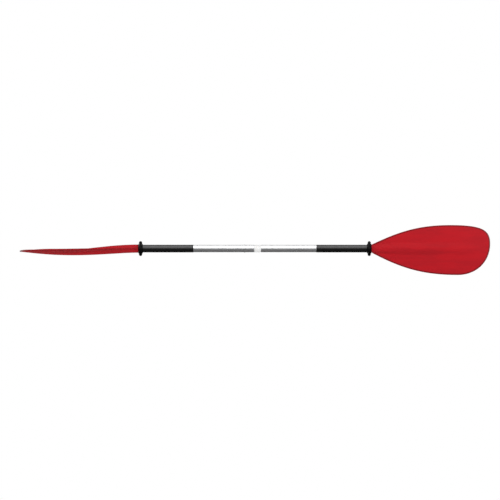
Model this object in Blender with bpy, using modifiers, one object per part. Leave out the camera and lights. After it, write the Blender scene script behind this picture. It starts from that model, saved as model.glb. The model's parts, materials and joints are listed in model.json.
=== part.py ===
"""Two-piece kayak paddle: aluminium shaft, moulded blades set at 90 degrees, snap-button ferrule.

Frame, in metres: the shaft lies along X, +Z is up, and the origin is the middle of the ferrule's
collar, on the shaft's axis. The left half (-X) holds the ferrule, and its blade lies flat with its
power face up. The right half (+X) slides and turns on the ferrule, and its blade stands upright
with its power face towards +Y.
"""

import math

import bmesh
import bpy
from mathutils import Matrix, Vector

MM = 0.001

# Driving sizes, in millimetres.
LEFT_REACH = 992.0  # from the collar's middle to the blade's tip
RIGHT_REACH = 969.0
FIT_GAP = 0.25  # clearance between pieces that touch on the real paddle
CUT_MARGIN = 2.0  # how far a hole's cutter stands out of the tube

TUBE_OUTER_RADIUS = 15.0
TUBE_WALL = 1.5
BLADE_LENGTH = 494.0  # from the neck's shoulder to the tip

GRIP_WALL = 0.7
GRIP_LENGTH = 230.0

RING_RADIUS = 31.0
RING_HUB_WALL = 3.4
RING_LENGTH = 19.0
RING_RIM_RADIUS = 6.8
RING_WAIST = 13.2  # thickness of the disc just outside the hub
RING_FILLET = 1.5  # from the hub out to the disc
RING_HUB_CHAMFER = 0.8
RING_BLADE_GAP = 0.6

COLLAR_LENGTH = 27.4
FIXED_SPIGOT = 70.0
SLIDING_SPIGOT = 105.0
FERRULE_WALL = 1.9  # under the seal's groove, where it is thinnest
SPIGOT_CHAMFER = 1.5

SEAL_FROM_COLLAR = 9.0
SEAL_THICKNESS = 1.6

BUTTON_FROM_COLLAR = 32.0
BUTTON_RADIUS = 3.8
BUTTON_TRAVEL = 3.2
BUTTON_DOME = 1.2
BUTTON_FLANGE_STEP = 0.8
BUTTON_FLANGE = 1.2
FEATHER_HOLE_ANGLES = (0.0, 90.0, 180.0)  # round the right tube, from straight up

SPRING_WIDTH = 7.6
SPRING_STRIP = 0.7
SPRING_LEG = 26.0
SPRING_REST_ON_BORE = 0.9

BLADE_SPIGOT = 80.0
BLADE_SPIGOT_WALL = 3.75
BLADE_BORE_INTO_NECK = 95.0
BLADE_CORE_TIP_RADIUS = 6.0
NECK_STEP = 2.0  # how far the neck's shoulder stands out from the tube
LONG_SIDE = 98.0
SHORT_SIDE = 110.0
TIP_OFFSET = 21.0
SCOOP_PULL = 30.0  # draws the middle of the blade's side profile back
TIP_DROP = 11.0
EDGE_LEVEL_SHARE = 0.58  # how far along towards its widest each edge starts to level out
PLATE_THICKNESS = 3.6
RIM_ROUNDING = 2.6
SPOON_DEPTH = 14.0  # how far the rims stand towards the power face ...
SPOON_AT = 105.0  # ... this far from the blade's centreline
SPINE_START = 60.0
BACK_SPINE_SHARE = 0.992  # of the blade's length, where the spine has faded out
FRONT_SPINE_SHARE = 0.8
SPINE_HALF_WIDTH = 27.0
SPINE_FLANK = 1.4  # 0.5 is a round back, and larger numbers are bell-shaped
SPINE_BLEND = 90.0  # the round neck becomes the bell-shaped spine over this length

RIVET_FROM_SHOULDER = 45.0
RIVET_FROM_COLLAR = 40.0
RIVET_SHANK_RADIUS = 1.9
RIVET_FLUSH_HEAD_RADIUS = 3.4
RIVET_DOME_HEAD_RADIUS = 3.6
RIVET_DOME_HEIGHT = 1.2
RIVET_TAIL_RADIUS = 2.7
RIVET_TAIL_LENGTH = 2.4
RIVET_TAIL_CHAMFER = 0.4

BUNG_LENGTH = 25.0
BUNG_FROM_FERRULE = 14.0
BUNG_BEVEL = 1.2

# How finely round things are divided.
ROUND_STEPS = 32
RING_STEPS = 40
SMALL_STEPS = 16
BLADE_STATIONS = 26
BLADE_AROUND = 28

# Sizes that follow.
TUBE_BORE_RADIUS = TUBE_OUTER_RADIUS - TUBE_WALL
SPIGOT_RADIUS = TUBE_BORE_RADIUS - FIT_GAP
NECK_RADIUS = TUBE_OUTER_RADIUS + NECK_STEP
BLADE_BORE_RADIUS = SPIGOT_RADIUS - BLADE_SPIGOT_WALL
SEAL_GROOVE_RADIUS = SPIGOT_RADIUS - SEAL_THICKNESS - FIT_GAP
FERRULE_BORE_RADIUS = SEAL_GROOVE_RADIUS - FERRULE_WALL
GRIP_INNER_RADIUS = TUBE_OUTER_RADIUS + FIT_GAP
GRIP_OUTER_RADIUS = GRIP_INNER_RADIUS + GRIP_WALL
RING_BORE_RADIUS = GRIP_OUTER_RADIUS + FIT_GAP
RING_HUB_RADIUS = RING_BORE_RADIUS + RING_HUB_WALL
COLLAR_X = COLLAR_LENGTH / 2
TUBE_START_X = COLLAR_X + FIT_GAP
BUTTON_X = COLLAR_X + BUTTON_FROM_COLLAR
BUTTON_HOLE_RADIUS = BUTTON_RADIUS + FIT_GAP
BUTTON_FLANGE_RADIUS = BUTTON_RADIUS + BUTTON_FLANGE_STEP
BUTTON_TOP = TUBE_BORE_RADIUS - FIT_GAP
RIVET_HOLE_RADIUS = RIVET_SHANK_RADIUS + FIT_GAP
SINK_GAP = 1.6 * FIT_GAP  # measured along the shaft, round a flush head's cone
CUT_FROM = 0.5 * FERRULE_BORE_RADIUS  # a radial cutter starts well inside every bore ...
CUT_TO = TUBE_OUTER_RADIUS + CUT_MARGIN  # ... and ends outside the tube
# A flush head's flat top lies just under the tube's round surface, edges included.
FLUSH_HEAD_TOP = math.sqrt(TUBE_OUTER_RADIUS**2 - RIVET_FLUSH_HEAD_RADIUS**2) - FIT_GAP / 2
FERRULE_RIVET_X = COLLAR_X + RIVET_FROM_COLLAR


def shoulder_x(side):
    """How far from the origin the blade's shoulder is. side is -1 on the left and 1 on the right."""
    return (LEFT_REACH if side < 0 else RIGHT_REACH) - BLADE_LENGTH


def tube_end_x(side):
    return shoulder_x(side) - FIT_GAP


def edge_curves(side, leaving, full, falling, tip_across):
    """Half of the blade's outline as two Bezier curves of (along the blade, out from its centreline).

    side is its greatest distance out, reached at share full of the length. leaving and falling are
    the control points next to the neck and the tip, as shares of the length and of side.
    """
    length = BLADE_LENGTH
    widest = (full * length, side)
    level_from = EDGE_LEVEL_SHARE * widest[0]
    rise = (0, NECK_RADIUS), (leaving[0] * length, leaving[1] * side), (level_from, side), widest
    fall = widest, (falling[0] * length, side), (length, falling[1] * side), (length, tip_across)
    return rise, fall


# The long edge is the upper one in use, and the tip lies on its side of the centreline.
LONG_EDGE = edge_curves(LONG_SIDE, (0.215, 0.685), 0.66, (0.93, 0.81), TIP_OFFSET)
SHORT_EDGE = edge_curves(SHORT_SIDE, (0.238, 0.72), 0.725, (0.89, 0.475), -TIP_OFFSET)
# The centreline's side profile: (along the blade, towards the power face).
SCOOP = (
    (0, 0),
    (0.255 * BLADE_LENGTH, 0),
    (0.589 * BLADE_LENGTH, -SCOOP_PULL),
    (BLADE_LENGTH, -TIP_DROP),
)


# ---------------------------------------------------------------- scene and helpers


def clear_scene():
    for obj in list(bpy.data.objects):
        bpy.data.objects.remove(obj, do_unlink=True)


def new_collection(name):
    collection = bpy.data.collections.new(name)
    bpy.context.scene.collection.children.link(collection)
    return collection


def new_material(name, colour, roughness, metallic=0.0):
    material = bpy.data.materials.new(name)
    material.use_nodes = True
    shader = material.node_tree.nodes["Principled BSDF"]
    shader.inputs["Base Color"].default_value = (*colour, 1.0)
    shader.inputs["Roughness"].default_value = roughness
    shader.inputs["Metallic"].default_value = metallic
    return material


def new_object(name, mesh, collection, material=None):
    obj = bpy.data.objects.new(name, mesh)
    collection.objects.link(obj)
    if material:
        mesh.materials.append(material)
    return obj


def shade(mesh):
    """Round surfaces are smooth, with edges over 35 degrees sharp."""
    mesh.shade_smooth()
    mesh.set_sharp_from_angle(angle=math.radians(35))


def lay_along_x(obj, x=0.0):
    """Turns the object's own Z axis to the shaft's direction."""
    obj.rotation_euler = (0, math.pi / 2, 0)
    obj.location = (x * MM, 0, 0)


def turned(name, profile, collection, material, closed, steps=ROUND_STEPS):
    """A profile of (radius, height) points in millimetres, swept round the object's own Z axis.

    A closed profile leaves a hole through the middle. An open one starts and ends on the axis.
    Either runs down its outer side.
    """
    mesh = bpy.data.meshes.new(name)
    points = [(radius * MM, 0, height * MM) for radius, height in profile]
    edges = [(i, i + 1) for i in range(len(points) - 1)]
    if closed:
        edges.append((len(points) - 1, 0))
    mesh.from_pydata(points, edges, [])
    obj = new_object(name, mesh, collection, material)
    screw = obj.modifiers.new("Turn", "SCREW")
    screw.axis = "Z"
    screw.steps = steps
    screw.render_steps = steps
    screw.use_merge_vertices = True
    screw.merge_threshold = 0.00001
    screw.use_smooth_shade = True
    return obj


def cylinder_mesh(name, radius, length, steps, top_radius=None):
    """A closed cylinder or cone, centred on its own origin, along its own Z axis."""
    mesh = bpy.data.meshes.new(name)
    shape = bmesh.new()
    bmesh.ops.create_cone(
        shape,
        cap_ends=True,
        segments=steps,
        radius1=radius * MM,
        radius2=(radius if top_radius is None else top_radius) * MM,
        depth=length * MM,
    )
    shape.to_mesh(mesh)
    shape.free()
    return mesh


def as_cutter(obj):
    obj.hide_render = True
    obj.display_type = "WIRE"
    return obj


def cut(obj, cutter):
    boolean = obj.modifiers.new("Cut " + cutter.name, "BOOLEAN")
    boolean.operation = "DIFFERENCE"
    boolean.solver = "EXACT"
    boolean.object = cutter


def place_on_shaft(obj, x, angle):
    """Stands the object's own Z axis across the shaft at x, turned angle degrees from straight up."""
    obj.location = (x * MM, 0, 0)
    obj.rotation_euler = (math.radians(angle), 0, 0)


def radial_cutter(name, profile, x, angle, collection):
    """A round cutter that goes through one wall of the shaft, from inside its bore to outside."""
    cutter = as_cutter(turned(name, profile, collection, None, closed=False, steps=SMALL_STEPS))
    place_on_shaft(cutter, x, angle)
    return cutter


def straight_hole(radius):
    return [(0, CUT_TO), (radius, CUT_TO), (radius, CUT_FROM), (0, CUT_FROM)]


# ---------------------------------------------------------------- the shaft


def shaft_tube(name, side, material, parts):
    """One half's aluminium tube."""
    ends = sorted((side * TUBE_START_X, side * tube_end_x(side)))
    profile = (
        (TUBE_OUTER_RADIUS, ends[1]),
        (TUBE_OUTER_RADIUS, ends[0]),
        (TUBE_BORE_RADIUS, ends[0]),
        (TUBE_BORE_RADIUS, ends[1]),
    )
    tube = turned(name, profile, parts, material, closed=True)
    lay_along_x(tube)
    return tube


def grip_sleeve(name, side, material, parts):
    """Shrink sleeve from the tube's blade end inwards, running on under the drip ring."""
    ends = sorted((side * (tube_end_x(side) - GRIP_LENGTH), side * tube_end_x(side)))
    profile = (
        (GRIP_OUTER_RADIUS, ends[1]),
        (GRIP_OUTER_RADIUS, ends[0]),
        (GRIP_INNER_RADIUS, ends[0]),
        (GRIP_INNER_RADIUS, ends[1]),
    )
    sleeve = turned(name, profile, parts, material, closed=True)
    lay_along_x(sleeve)
    return sleeve


def ring_profile():
    """Half section of the drip ring: a hub, a waisted disc and a round rim."""
    hub = RING_LENGTH / 2
    rim_centre = RING_RADIUS - RING_RIM_RADIUS
    rim = []
    for degrees in range(100, -101, -25):
        angle = math.radians(degrees)
        rim.append(
            (
                rim_centre + RING_RIM_RADIUS * math.cos(angle),
                RING_RIM_RADIUS * math.sin(angle),
            )
        )
    upper = [
        (RING_BORE_RADIUS, hub),
        (RING_HUB_RADIUS - RING_HUB_CHAMFER, hub),
        (RING_HUB_RADIUS, hub - RING_HUB_CHAMFER),
        (RING_HUB_RADIUS + RING_FILLET, RING_WAIST / 2),
    ]
    lower = [(radius, -height) for radius, height in reversed(upper)]
    return upper + rim + lower


def drip_ring(name, side, material, parts):
    """Rubber ring at the blade end of the grip. Its own origin is on the shaft's axis."""
    ring = turned(name, ring_profile(), parts, material, closed=True, steps=RING_STEPS)
    lay_along_x(ring, side * (shoulder_x(side) - RING_BLADE_GAP - RING_LENGTH / 2))
    return ring


def bung(name, x, material, parts):
    """Closed-cell foam bung that keeps water out of a tube. x is its middle."""
    obj = new_object(
        name, cylinder_mesh(name, SPIGOT_RADIUS, BUNG_LENGTH, ROUND_STEPS), parts, material
    )
    bevel = obj.modifiers.new("Edge", "BEVEL")
    bevel.width = BUNG_BEVEL * MM
    bevel.segments = 1
    bevel.limit_method = "ANGLE"
    lay_along_x(obj, x)
    return obj


# ---------------------------------------------------------------- the ferrule


def ferrule_profile():
    """Collar, a spigot each side, and a groove for the seal. Heights run along the shaft."""
    chamfer = SPIGOT_CHAMFER
    groove = COLLAR_X + SEAL_FROM_COLLAR
    groove_half = SEAL_THICKNESS / 2 + FIT_GAP
    right = COLLAR_X + SLIDING_SPIGOT
    left = -COLLAR_X - FIXED_SPIGOT
    return (
        (FERRULE_BORE_RADIUS, right),
        (SPIGOT_RADIUS - chamfer, right),
        (SPIGOT_RADIUS, right - chamfer),
        (SPIGOT_RADIUS, groove + groove_half),
        (SEAL_GROOVE_RADIUS, groove + groove_half),
        (SEAL_GROOVE_RADIUS, groove - groove_half),
        (SPIGOT_RADIUS, groove - groove_half),
        (SPIGOT_RADIUS, COLLAR_X),
        (TUBE_OUTER_RADIUS, COLLAR_X),
        (TUBE_OUTER_RADIUS, -COLLAR_X),
        (SPIGOT_RADIUS, -COLLAR_X),
        (SPIGOT_RADIUS, left + chamfer),
        (SPIGOT_RADIUS - chamfer, left),
        (FERRULE_BORE_RADIUS, left),
    )


def ferrule(material, parts):
    obj = turned("ferrule", ferrule_profile(), parts, material, closed=True)
    lay_along_x(obj)
    return obj


def seal_ring(material, parts):
    """O-ring in the ferrule's groove, which turns with the right half."""
    minor = SEAL_THICKNESS / 2
    bpy.ops.mesh.primitive_torus_add(
        major_segments=ROUND_STEPS,
        minor_segments=8,
        major_radius=(TUBE_BORE_RADIUS - FIT_GAP - minor) * MM,
        minor_radius=minor * MM,
    )
    obj = bpy.context.object
    obj.name = "seal_ring"
    for collection in list(obj.users_collection):
        collection.objects.unlink(obj)
    parts.objects.link(obj)
    obj.data.materials.append(material)
    obj.data.shade_smooth()
    lay_along_x(obj, COLLAR_X + SEAL_FROM_COLLAR)
    return obj


def dome(radius, base, height):
    """Profile of a domed end, from its crown down to just above its base."""
    points = [(0, base + height)]
    for degrees in (60, 30):
        angle = math.radians(degrees)
        points.append((radius * math.cos(angle), base + height * math.sin(angle)))
    return points


def snap_button(material, parts):
    """Domed button, stored pushed in so that the right tube is free to move over it."""
    # When the button is out, its flange stops just short of the ferrule's round bore.
    flange_stop = math.sqrt(FERRULE_BORE_RADIUS**2 - BUTTON_FLANGE_RADIUS**2) - 2 * FIT_GAP
    flange_top = flange_stop - BUTTON_TRAVEL
    shank_top = BUTTON_TOP - BUTTON_DOME
    profile = [
        *dome(BUTTON_RADIUS, shank_top, BUTTON_DOME),
        (BUTTON_RADIUS, shank_top),
        (BUTTON_RADIUS, flange_top),
        (BUTTON_FLANGE_RADIUS, flange_top),
        (BUTTON_FLANGE_RADIUS, flange_top - BUTTON_FLANGE),
        (0, flange_top - BUTTON_FLANGE),
    ]
    obj = turned("snap_button", profile, parts, material, closed=False, steps=SMALL_STEPS)
    obj.location = (BUTTON_X * MM, 0, 0)
    return obj, flange_top - BUTTON_FLANGE


def button_spring(top, material, parts):
    """V-shaped strip of spring steel: one leg under the button, a bend beyond it, one leg on the bore."""
    upper = top - FIT_GAP - SPRING_STRIP / 2
    lower = -math.sqrt(FERRULE_BORE_RADIUS**2 - (SPRING_WIDTH / 2) ** 2) + SPRING_REST_ON_BORE
    bend_radius = (upper - lower) / 2
    start = -BUTTON_FLANGE_RADIUS
    path = [(start, upper), (SPRING_LEG / 2, upper)]
    bend_steps = 8
    for i in range(bend_steps + 1):
        angle = math.pi / 2 - math.pi * i / bend_steps
        path.append(
            (
                SPRING_LEG + bend_radius * math.cos(angle),
                (upper + lower) / 2 + bend_radius * math.sin(angle),
            )
        )
    path += [(SPRING_LEG / 2, lower), (start, lower)]
    half = SPRING_WIDTH / 2
    points = []
    for x, z in path:
        points += [((BUTTON_X + x) * MM, -half * MM, z * MM), ((BUTTON_X + x) * MM, half * MM, z * MM)]
    faces = [(2 * i, 2 * i + 1, 2 * i + 3, 2 * i + 2) for i in range(len(path) - 1)]
    mesh = bpy.data.meshes.new("button_spring")
    mesh.from_pydata(points, [], faces)
    obj = new_object("button_spring", mesh, parts, material)
    solidify = obj.modifiers.new("Strip", "SOLIDIFY")
    solidify.thickness = SPRING_STRIP * MM
    solidify.offset = 0
    return obj


# ---------------------------------------------------------------- rivets


def rivet_tail(bore_radius):
    """Lower part of a blind rivet's profile, set inside a bore: shank, then the drawn bulb."""
    bulb_top = math.sqrt(bore_radius**2 - RIVET_TAIL_RADIUS**2) - 2 * FIT_GAP
    bulb_bottom = bulb_top - RIVET_TAIL_LENGTH
    return [
        (RIVET_SHANK_RADIUS, bulb_top),
        (RIVET_TAIL_RADIUS, bulb_top - RIVET_TAIL_CHAMFER),
        (RIVET_TAIL_RADIUS, bulb_bottom + RIVET_TAIL_CHAMFER),
        (RIVET_SHANK_RADIUS, bulb_bottom),
        (0, bulb_bottom),
    ]


def dome_rivet_profile():
    """A rivet whose domed head shows on the tube."""
    seat = TUBE_OUTER_RADIUS + FIT_GAP
    return [
        *dome(RIVET_DOME_HEAD_RADIUS, seat, RIVET_DOME_HEIGHT),
        (RIVET_DOME_HEAD_RADIUS, seat),
        (RIVET_SHANK_RADIUS, seat),
        *rivet_tail(FERRULE_BORE_RADIUS),
    ]


def flush_rivet_profile():
    """A countersunk rivet, flush with the tube, that a grip sleeve can cover."""
    return [
        (0, FLUSH_HEAD_TOP),
        (RIVET_FLUSH_HEAD_RADIUS, FLUSH_HEAD_TOP),
        (RIVET_SHANK_RADIUS, TUBE_BORE_RADIUS),
        *rivet_tail(BLADE_BORE_RADIUS),
    ]


def countersunk_hole():
    """Clears a flush rivet: a cone parallel to its head's, down to the hole for its shank."""
    flare = (RIVET_FLUSH_HEAD_RADIUS - RIVET_SHANK_RADIUS) / (FLUSH_HEAD_TOP - TUBE_BORE_RADIUS)
    cone_radius = RIVET_SHANK_RADIUS + SINK_GAP
    return [
        (0, CUT_TO),
        (cone_radius + flare * (CUT_TO - TUBE_BORE_RADIUS), CUT_TO),
        (RIVET_HOLE_RADIUS, TUBE_BORE_RADIUS - (cone_radius - RIVET_HOLE_RADIUS) / flare),
        (RIVET_HOLE_RADIUS, CUT_FROM),
        (0, CUT_FROM),
    ]


def rivet(name, profile, x, angle, material, parts):
    obj = turned(name, profile, parts, material, closed=False, steps=SMALL_STEPS)
    place_on_shaft(obj, x, angle)
    return obj


# ---------------------------------------------------------------- the blade


def bezier(points, t):
    u = 1 - t
    weights = (u**3, 3 * u * u * t, 3 * u * t * t, t**3)
    return tuple(sum(w * p[k] for w, p in zip(weights, points)) for k in (0, 1))


def on_edge(edge, t):
    """The point at share t of an outline edge made of two curves."""
    curve, share = (edge[0], 2 * t) if t < 0.5 else (edge[1], 2 * t - 1)
    return bezier(curve, share)


def scoop_at(x):
    """Height of the centreline's side profile at x along the blade."""
    low, high = 0.0, 1.0
    for _ in range(40):
        middle = (low + high) / 2
        if bezier(SCOOP, middle)[0] < x:
            low = middle
        else:
            high = middle
    return bezier(SCOOP, low)[1]


def spine_height(x, end):
    """How far the spine stands above the blade's middle surface on one face."""
    if x <= SPINE_START:
        return NECK_RADIUS
    if x >= end:
        return 0.0
    return NECK_RADIUS * math.cos(math.pi / 2 * (x - SPINE_START) / (end - SPINE_START))


def spine_section(x, across):
    """Share of the spine's height at a distance across the blade: round at the neck, then a bell."""
    blend = min(1.0, x / SPINE_BLEND)
    half_width = NECK_RADIUS + (SPINE_HALF_WIDTH - NECK_RADIUS) * blend
    power = 0.5 + (SPINE_FLANK - 0.5) * blend
    return max(0.0, 1 - (across / half_width) ** 2) ** power


def blade_point(x, across, rim_distance, to_front):
    """A surface point (along, across, towards the power face) of the blade."""
    middle = scoop_at(x) + SPOON_DEPTH * (across / SPOON_AT) ** 2
    inset = min(1.0, rim_distance / RIM_ROUNDING)
    plate = PLATE_THICKNESS / 2 * math.sqrt(1 - (1 - inset) ** 2)
    end = FRONT_SPINE_SHARE if to_front else BACK_SPINE_SHARE
    spine = spine_height(x, end * BLADE_LENGTH) * spine_section(x, across)
    thickness = math.hypot(plate, spine) if inset > 0 else 0.0
    return (x, across, middle + (thickness if to_front else -thickness))


def round_section(x, radius):
    """A circle of points round the blade's own axis, in step with the blade's sections."""
    points = []
    for i in range(BLADE_AROUND):
        angle = 2 * math.pi * i / BLADE_AROUND
        points.append((x, radius * math.cos(angle), radius * math.sin(angle)))
    return points


def blade_section(t):
    """The ring of points across the blade at share t of the way from neck to tip."""
    long_x, long_across = on_edge(LONG_EDGE, t)
    short_x, short_across = on_edge(SHORT_EDGE, t)
    chord = math.hypot(long_x - short_x, long_across + short_across)
    points = []
    for i in range(BLADE_AROUND):
        angle = 2 * math.pi * i / BLADE_AROUND
        share = (1 + math.cos(angle)) / 2
        x = short_x + (long_x - short_x) * share
        across = -short_across + (long_across + short_across) * share
        rim_distance = chord * min(share, 1 - share)
        points.append(blade_point(x, across, rim_distance, math.sin(angle) > 0))
    return points


def blade_sections():
    """Every section from the spigot's end to just short of the tip."""
    sections = [
        round_section(-BLADE_SPIGOT, SPIGOT_RADIUS - SPIGOT_CHAMFER),
        round_section(-BLADE_SPIGOT + SPIGOT_CHAMFER, SPIGOT_RADIUS),
        round_section(0, SPIGOT_RADIUS),
        round_section(0, NECK_RADIUS),
    ]
    for i in range(1, BLADE_STATIONS):
        even = i / BLADE_STATIONS
        # Stations crowd together towards the round tip.
        sections.append(blade_section(math.sin(math.pi / 2 * even) ** 1.25))
    return sections


def blade_mesh(name, mirrored):
    """A closed loft along its own X axis, with the long edge at +Y and the power face at +Z."""
    sections = blade_sections()
    points = [Vector(p) * MM for section in sections for p in section]
    start = len(points)
    points.append(Vector((-BLADE_SPIGOT, 0, 0)) * MM)
    tip_x, tip_across = LONG_EDGE[1][3]
    tip_height = scoop_at(tip_x) + SPOON_DEPTH * (tip_across / SPOON_AT) ** 2
    points.append(Vector((tip_x, tip_across, tip_height)) * MM)
    around = BLADE_AROUND
    faces = []
    for i in range(around):
        j = (i + 1) % around
        faces.append((start, j, i))
        for row in range(len(sections) - 1):
            a, b = row * around, (row + 1) * around
            faces.append((a + i, a + j, b + j, b + i))
        last = (len(sections) - 1) * around
        faces.append((last + i, last + j, start + 1))
    if mirrored:
        points = [Vector((p.x, -p.y, p.z)) for p in points]
        faces = [tuple(reversed(face)) for face in faces]
    mesh = bpy.data.meshes.new(name)
    mesh.from_pydata(points, [], faces)
    shade(mesh)
    return mesh


def blade_bore_profile():
    """The mould's core, from beyond the spigot's end: straight as far as the neck, then tapered."""
    return [
        (0, BLADE_BORE_INTO_NECK),
        (BLADE_CORE_TIP_RADIUS, BLADE_BORE_INTO_NECK),
        (BLADE_BORE_RADIUS, 0),
        (BLADE_BORE_RADIUS, -BLADE_SPIGOT - 1),
        (0, -BLADE_SPIGOT - 1),
    ]


def blade(name, side, material, parts, cutters):
    """A moulded blade with a hollow spigot. The two blades are mirror images of each other."""
    obj = new_object(name, blade_mesh(name, mirrored=side > 0), parts, material)
    # The left blade points to -X with its power face up. The right blade points to +X, upright,
    # with its power face towards +Y.
    if side < 0:
        obj.matrix_world = Matrix.Rotation(math.pi, 4, "Z")
    else:
        obj.matrix_world = Matrix.Rotation(-math.pi / 2, 4, "X")
    obj.matrix_world = Matrix.Translation((side * shoulder_x(side) * MM, 0, 0)) @ obj.matrix_world
    bore = as_cutter(turned(name + "_bore", blade_bore_profile(), cutters, None, closed=False))
    bore.rotation_euler = (0, side * math.pi / 2, 0)
    bore.location = (side * shoulder_x(side) * MM, 0, 0)
    cut(obj, bore)
    return obj


# ---------------------------------------------------------------- assembly


def build_half(side, label, materials, parts, cutters):
    """Everything that both halves have. Returns the tube, which takes further cuts."""
    tube = shaft_tube(label + "_shaft_tube", side, materials["aluminium"], parts)
    grip_sleeve(label + "_grip_sleeve", side, materials["grip"], parts)
    drip_ring(label + "_drip_ring", side, materials["ring"], parts)
    moulding = blade(label + "_blade", side, materials["blade"], parts, cutters)
    x = side * (shoulder_x(side) - RIVET_FROM_SHOULDER)
    for number, angle in enumerate((0, 180), start=1):
        name = f"{label}_blade_rivet_{number}"
        rivet(name, flush_rivet_profile(), x, angle, materials["rivet"], parts)
        hole = radial_cutter(name + "_hole", countersunk_hole(), x, angle, cutters)
        cut(moulding, hole)
        cut(tube, hole)
    return tube


def build_joint(left_tube, right_tube, materials, parts, cutters):
    """The ferrule, fixed in the left tube, and what locks and seals the right tube on it."""
    body = ferrule(materials["ferrule"], parts)
    for number, angle in enumerate((0, 180), start=1):
        name = f"ferrule_rivet_{number}"
        rivet(name, dome_rivet_profile(), -FERRULE_RIVET_X, angle, materials["rivet"], parts)
        profile = straight_hole(RIVET_HOLE_RADIUS)
        hole = radial_cutter(name + "_hole", profile, -FERRULE_RIVET_X, angle, cutters)
        cut(left_tube, hole)
        cut(body, hole)
    button_hole = straight_hole(BUTTON_HOLE_RADIUS)
    cut(body, radial_cutter("button_hole", button_hole, BUTTON_X, 0, cutters))
    for angle in FEATHER_HOLE_ANGLES:
        name = f"feather_hole_{angle:.0f}"
        cut(right_tube, radial_cutter(name, button_hole, BUTTON_X, -angle, cutters))
    seal_ring(materials["ring"], parts)
    _, button_bottom = snap_button(materials["rivet"], parts)
    button_spring(button_bottom, materials["spring"], parts)


def main():
    clear_scene()
    parts = new_collection("kayak_paddle")
    cutters = new_collection("cutters")
    materials = {
        "aluminium": new_material("Anodised aluminium", (0.78, 0.79, 0.80), 0.28, 1.0),
        "grip": new_material("Black shrink sleeve", (0.02, 0.02, 0.022), 0.5),
        "ring": new_material("Black rubber", (0.012, 0.012, 0.013), 0.6),
        "blade": new_material("Red moulded plastic", (0.50, 0.012, 0.018), 0.42),
        "ferrule": new_material("White nylon", (0.86, 0.86, 0.84), 0.45),
        "rivet": new_material("Bright steel", (0.65, 0.65, 0.66), 0.3, 1.0),
        "spring": new_material("Spring steel", (0.5, 0.5, 0.52), 0.35, 1.0),
        "foam": new_material("Grey closed-cell foam", (0.2, 0.2, 0.21), 0.9),
    }
    left_tube = build_half(-1, "left", materials, parts, cutters)
    right_tube = build_half(1, "right", materials, parts, cutters)
    build_joint(left_tube, right_tube, materials, parts, cutters)
    middle = COLLAR_X + BUNG_FROM_FERRULE + BUNG_LENGTH / 2
    bung("left_bung", -(middle + FIXED_SPIGOT), materials["foam"], parts)
    bung("right_bung", middle + SLIDING_SPIGOT, materials["foam"], parts)


main()
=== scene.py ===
"""Kayak paddle: the finished surfaces, materials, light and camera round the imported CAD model.

The scene is in metres, in the CAD model's frame: the shaft lies along X, +Z is up, and the camera
looks along +Y. Every CAD node is replaced by a finer piece of the same size, on the same body. A
piece's sizes and profile are in millimetres until its mesh is made.
"""

import json
import math

import bpy
import numpy as np
from mathutils import Matrix, Vector


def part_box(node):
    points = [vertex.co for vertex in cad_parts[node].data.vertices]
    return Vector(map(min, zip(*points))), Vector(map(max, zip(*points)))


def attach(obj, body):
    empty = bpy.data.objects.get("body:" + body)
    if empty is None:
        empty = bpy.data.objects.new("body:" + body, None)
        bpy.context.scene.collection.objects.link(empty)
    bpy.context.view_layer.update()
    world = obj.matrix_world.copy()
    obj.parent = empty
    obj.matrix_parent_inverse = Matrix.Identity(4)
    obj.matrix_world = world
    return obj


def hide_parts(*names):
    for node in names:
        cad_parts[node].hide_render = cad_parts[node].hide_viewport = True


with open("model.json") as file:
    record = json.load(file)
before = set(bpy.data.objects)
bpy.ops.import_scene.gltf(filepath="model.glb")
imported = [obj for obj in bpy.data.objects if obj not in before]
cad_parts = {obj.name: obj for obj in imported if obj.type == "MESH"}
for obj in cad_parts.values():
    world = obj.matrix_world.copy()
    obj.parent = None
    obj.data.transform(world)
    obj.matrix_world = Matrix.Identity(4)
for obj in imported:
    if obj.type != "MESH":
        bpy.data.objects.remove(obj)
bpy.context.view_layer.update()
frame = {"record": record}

MM = 0.001
X, Y, Z = 0, 1, 2
SIDES = {"left": -1, "right": 1}

# ---------------------------------------------------------------- sizes from the frame


def span(node, axis):
    """(lowest, highest) of a CAD node along an axis, in millimetres."""
    low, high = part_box(node)
    return low[axis] / MM, high[axis] / MM


def middle_x(node):
    return sum(span(node, X)) / 2


def radius_of(node):
    return span(node, Y)[1]


def inner_and_outer_x(node, side):
    """How far a node's nearer and further ends are from the origin along the shaft."""
    return sorted(side * x for x in span(node, X))


def half_and_middle(node, side):
    """Half of a node's length along the shaft, and the x of its middle."""
    inner, outer = inner_and_outer_x(node, side)
    return (outer - inner) / 2, side * (inner + outer) / 2


TUBE_RADIUS = radius_of("left_shaft_tube")
GRIP_RADIUS = radius_of("left_grip_sleeve")
RING_RADIUS = radius_of("left_drip_ring")
SPIGOT_RADIUS = radius_of("left_bung")
SEAL_X = middle_x("seal_ring")
SEAL_THICKNESS = span("seal_ring", X)[1] - span("seal_ring", X)[0]
BUTTON_X = middle_x("snap_button")
BUTTON_BOTTOM, BUTTON_TOP = span("snap_button", Z)
BUTTON_FLANGE_RADIUS = radius_of("snap_button")
TUBE_START = inner_and_outer_x("right_shaft_tube", 1)[0]

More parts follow.
